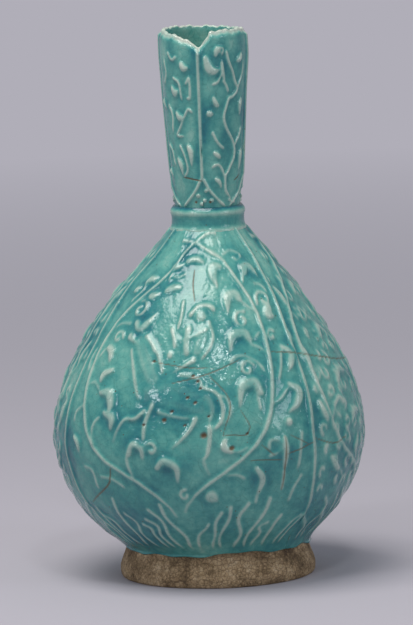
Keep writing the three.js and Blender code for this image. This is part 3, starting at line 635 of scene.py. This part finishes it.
def neckFacet(name, start, columns, rows, twigs, leaves, vine, cracks, pits, seed):
    u = np.linspace(0.0, 1.0, columns)[:, None]
    v = np.linspace(0.0, 1.0, rows)[None, :]
    angles = start + 90.0 * u + 0 * v
    bottom = 221.0
    rim = rimEdge(angles)
    heights = bottom + (rim - 1.0 - bottom) * v
    local = angles - start
    field = np.zeros(angles.shape)
    for edge in (0.0, 90.0):
        distance = np.abs(local - edge) * math.radians(1.0) * neckRadius(heights)
        wornGap = 1.0 - 0.85 * np.exp(-((heights - 259.0) / 3.2) ** 2) * (start < 80.0)
        field = np.maximum(field, 1.5 * (1.0 - smoothStep(distance, 0.2, 1.5)) * smoothStep(heights, 238.0, 244.0) * wornGap)
    legs = [[(2, 242), (12, 235), (27, 229), (40, 225)], [(88, 242), (78, 235), (63, 229), (50, 225)]]
    for path in legs:
        addStroke(field, local, heights, neckRadius, path, 1.2, 1.2, evenTaper, 16)
    for angle, height in ((6, 235), (15, 229), (82, 232), (2, 229), (88, 227)):
        addStroke(field, local, heights, neckRadius, [(angle, height), (angle + 0.6, height)], 1.7, 1.4, evenTaper, 3)
    for path in vine:
        addStroke(field, local, heights, neckRadius, path, 1.2, 1.3, evenTaper, 60)
    for path in twigs:
        addStroke(field, local, heights, neckRadius, path, 1.0, 1.1, evenTaper, 14)
    for path, width in leaves:
        addStroke(field, local, heights, neckRadius, path, width * 1.15, 1.5, hookTaper if len(path) > 2 else leafTaper, 12)
    stepUp = (330.0 - bottom) / rows
    stepAcross = 38.0 / columns
    soft = softened(field, int(0.5 / stepUp), int(0.5 / stepAcross))
    wide = softened(field, int(2.6 / stepUp), int(2.6 / stepAcross))
    tight = softened(soft, int(1.3 / stepUp), int(1.3 / stepAcross))
    stain = np.zeros(angles.shape)
    for path, width in cracks:
        addStroke(stain, local, heights, neckRadius, path, width, 1.0, hairTaper, 14)
    for angle, height, size in pits:
        addStroke(stain, local, heights, neckRadius, [(angle, height), (angle + 0.5, height)], size, 1.0, evenTaper, 3)
    flat = 0.7 * (0.5 - 0.5 * np.cos(np.radians(4.0 * local)))
    lift = soft + 0.25 * waveField(angles, heights, 34.0, 51) - 0.3 * stain
    rimEase = 1.4 * smoothStep(heights, rim - 5.0, rim - 1.0) ** 2
    outerRadius = neckRadius(heights) - flat + lift * (1.0 - 0.7 * smoothStep(heights, rim - 4.0, rim - 1.0)) - rimEase
    outer = place(neckCentre, outerRadius, angles, heights)
    turns = np.linspace(0.0, math.pi, 7)[None, 1:-1]
    edgeRadius = outerRadius[:, -1:]
    lipWall = 2.6
    lip = place(neckCentre, edgeRadius - lipWall / 2 + lipWall / 2 * np.cos(turns), angles[:, :1] + 0 * turns,
                heights[:, -1:] + 1.0 * np.sin(turns))
    w = np.linspace(1.0, 0.0, 36)[None, :]
    innerHeights = bottom + (rim[:, :1] - 1.0 - bottom) * w
    wall = 4.0 + (lipWall - 4.0) * smoothStep(innerHeights, rim[:, :1] - 12.0, rim[:, :1] - 1.0)
    innerEase = (neckRadius(innerHeights) - edgeRadius) * smoothStep(innerHeights, rim[:, :1] - 10.0, rim[:, :1] - 1.0)
    innerRadius = neckRadius(innerHeights) - innerEase - wall
    inner = place(neckCentre, innerRadius, angles[:, :1] + 0 * w, innerHeights)
    item = loopGrid(name, np.concatenate([outer, lip, inner], 1), False, rows + 5)
    # Darker in the recesses round the relief: partly glaze pooling, partly painted shade.
    poolAndShade = np.clip(0.46 + 0.42 * (wide - 0.75 * soft) + 0.12 * waveField(angles, heights, 50.0, 52), 0, 1)
    rimPale = smoothStep(heights, rim - 3.4, rim - 0.8)
    poolAndShade = poolAndShade * (1 - 0.85 * rimPale)
    lipStill = np.zeros((columns, 5))
    innerStill = np.zeros((columns, 36))
    writeAttribute(item, "poolAndShade", np.concatenate([poolAndShade, lipStill + 0.05, innerStill + 0.42], 1))
    writeAttribute(item, "stain", np.concatenate([np.clip(stain, 0, 1), lipStill, innerStill], 1))
    # Crests paler with thin glaze and a painted highlight; the rim and lip paler where the body shows through.
    writeAttribute(item, "ridgePaleAndHighlight", np.concatenate([np.clip((soft - tight) / 0.26 + 0.8 * rimPale, 0, 1), lipStill + 0.8, innerStill], 1))
    return item


neckFacets = [
    ("front_right", 0, facetTwigs, facetLeaves, vineRight, "neck_rib_front", [([(60, 240), (75, 243)], 0.6)], [(12, 228, 1.2)]),
    ("back_right", 1, facetTwigs, facetLeaves, vineRight, "neck_rib_right", [], []),
    ("back_left", 2, facetTwigs, facetLeaves, vineRight, "neck_rib_back", [], []),
    ("front_left", 3, leftFacetTwigs, leftFacetLeaves, [], "neck_rib_left", [([(55, 243), (74, 242), (90, 241)], 0.7)],
     [(66, 222.5, 1.6), (77, 228, 1.2)]),
]
for side, turn, twigs, leaves, vine, ribNode, cracks, pits in neckFacets:
    finishPiece(
        neckFacet("neck_facet_" + side, neckFirstRib + 90.0 * turn, 104, 280, twigs, leaves, vine, cracks, pits, 50 + turn),
        "root", ["neck_panel_" + side, ribNode], glaze)


print("collar and foot")


# A turned ring with a closed outline, a little uneven as a hand-made one is.
def ringLoops(profile, columns, count, centre, wobble, seed):
    line = np.array(profile, float)
    closedLine = np.vstack([line, line[:1]])
    lengths = np.concatenate([[0.0], np.cumsum(np.hypot(*np.diff(closedLine, axis=0).T))])
    at = np.linspace(0.0, lengths[-1], count, endpoint=False)
    radius = np.interp(at, lengths, closedLine[:, 0])[None, :]
    height = np.interp(at, lengths, closedLine[:, 1])[None, :]
    angles = np.linspace(0.0, 360.0, columns, endpoint=False)[:, None]
    uneven = wobble * waveField(angles + 0 * radius, height + 0 * angles, 40.0, seed)
    return place(centre, radius + uneven, angles + 0 * radius, height + 0 * angles), at, lengths


collarProfile = [
    (17.4, 209.4), (22.9, 209.4), (23.2, 210.4), (22.9, 211.6), (22.3, 212.8), (22.0, 214.2), (21.9, 216.0),
    (21.9, 217.6), (22.1, 219.0), (22.5, 220.0), (22.7, 221.2), (22.4, 222.4), (21.6, 223.6), (20.8, 224.6), (17.0, 224.8),
]
collarLoops, collarAt, collarLengths = ringLoops(collarProfile, 220, 110, 2.9, 0.12, 71)
collarPiece = loopGrid("collar_band", collarLoops, True)
collarRadius = np.hypot(collarLoops[..., 0] - 2.9, collarLoops[..., 1])
# Darker where the collar narrows inwards: partly glaze pooling, partly painted shade.
writeAttribute(collarPiece, "poolAndShade", np.clip(0.55 - (collarRadius - 22.1) * 0.4, 0, 1))
writeAttribute(collarPiece, "stain", 0 * collarRadius)
# The collar's outward bands paler: thin glaze and a painted highlight.
writeAttribute(collarPiece, "ridgePaleAndHighlight", np.clip((collarRadius - 22.3) * 0.8, 0, 0.5) * (collarLoops[..., 2] > 213))
finishPiece(collarPiece, "root", ["collar_ring"], glaze)

footProfile = [
    (46.6, 0.6), (47.2, 0.0), (57.4, 0.0), (58.4, 0.5), (58.9, 1.6), (59.2, 4.0), (59.1, 6.5), (58.4, 9.0), (57.4, 11.5),
    (56.4, 14.0), (55.5, 16.5), (55.0, 19.0), (55.2, 21.5), (54.6, 22.0), (46.6, 22.0),
]
footLoops, footAt, footLengths = ringLoops(footProfile, 420, 96, 2.8, 0.22, 81)
footLoops[..., 2] = np.maximum(footLoops[..., 2], 0.0)
footPiece = loopGrid("foot_ring_bare", footLoops, True)
finishPiece(footPiece, "root", ["foot_ring"], stonepaste)

floorProfile = [(0.5, 12.0), (46.2, 12.0), (46.2, 20.0), (30.0, 20.0), (0.5, 20.0)]
floorLoops, floorAt, floorLengths = ringLoops(floorProfile, 120, 30, 2.8, 0.0, 91)
floorPiece = loopGrid("body_floor_inside", floorLoops, True)
finishPiece(floorPiece, "root", ["body_floor"], stonepaste)

print("stage")


# A pale flat floor that fades into an evenly lit background far from the bottle, the same from every side.
def paperFloor():
    half = 12000.0
    sheet = linkMesh("paper_floor", [(-half, -half, 0), (half, -half, 0), (half, half, 0), (-half, half, 0)], [(0, 1, 2, 3)])
    material = bpy.data.materials.new("grey_paper")
    tree, add = nodeAdder(material)
    where = add("ShaderNodeTexCoord")
    away = add("ShaderNodeVectorMath", {0: where.outputs["Object"]}, operation="LENGTH").outputs["Value"]
    depth = add("ShaderNodeMapRange", {"Value": away, "From Min": 0.3, "From Max": 2.4})
    paper = add("ShaderNodeBsdfPrincipled", {"Base Color": linear("b6b4be"), "Roughness": 0.9})
    farLight = add("ShaderNodeEmission", {"Color": linear("b0aeb8"), "Strength": 1.0})
    shader = add("ShaderNodeMixShader", {0: depth.outputs["Result"], 1: paper.outputs[0], 2: farLight.outputs[0]})
    add("ShaderNodeOutputMaterial", {"Surface": shader.outputs[0]})
    sheet.data.materials.append(material)


def addLamp(name, location, aim, sizeX, sizeY, power, colour):
    lamp = bpy.data.lights.new(name, "AREA")
    lamp.shape = "RECTANGLE"
    lamp.size = sizeX
    lamp.size_y = sizeY
    lamp.energy = power
    lamp.color = linear(colour)[:3]
    item = bpy.data.objects.new(name, lamp)
    item.location = location
    item.rotation_euler = (Vector(aim) - Vector(location)).to_track_quat("-Z", "Y").to_euler()
    bpy.context.scene.collection.objects.link(item)


def setWorld():
    world = bpy.data.worlds.new("studio")
    bpy.context.scene.world = world
    world.use_nodes = True
    back = world.node_tree.nodes["Background"]
    back.inputs["Color"].default_value = linear("dfe0e6")
    back.inputs["Strength"].default_value = 0.42


# Where the photograph was taken from, turned a little about its line of sight.
def setCamera():
    eye = Vector((0.0028, -3.5, 0.63))
    aim = Vector((0.00032, 0.0, 0.1588))
    roll = math.radians(1.75)
    forward = (aim - eye).normalized()
    right = forward.cross(Vector((0, 0, 1))).normalized()
    up = right.cross(forward)
    turnedRight = right * math.cos(roll) - up * math.sin(roll)
    turnedUp = right * math.sin(roll) + up * math.cos(roll)
    data = bpy.data.cameras.new("view")
    data.lens = 337.1
    data.sensor_width = 36.0
    data.clip_end = 30.0
    camera = bpy.data.objects.new("view", data)
    basis = Matrix((turnedRight, turnedUp, -forward)).transposed().to_4x4()
    camera.matrix_world = Matrix.Translation(eye) @ basis
    bpy.context.scene.collection.objects.link(camera)
    bpy.context.scene.camera = camera


paperFloor()
addLamp("overhead_softbox", (-0.35, -0.35, 1.7), (0.0, 0.0, 0.1), 1.1, 0.8, 20.0, "fffaf4")
addLamp("left_softbox", (-1.6, -1.5, 1.3), (0.0, 0.0, 0.18), 0.35, 0.5, 7.0, "fbfaff")
addLamp("front_small_lamp", (0.25, -1.3, 1.75), (0.0, 0.0, 0.18), 0.22, 0.22, 4.0, "ffffff")
addLamp("right_fill", (1.8, -1.2, 1.0), (0.0, 0.0, 0.15), 0.6, 0.9, 6.0, "f4f6ff")
setWorld()
setCamera()
bpy.context.scene.view_settings.view_transform = "Standard"
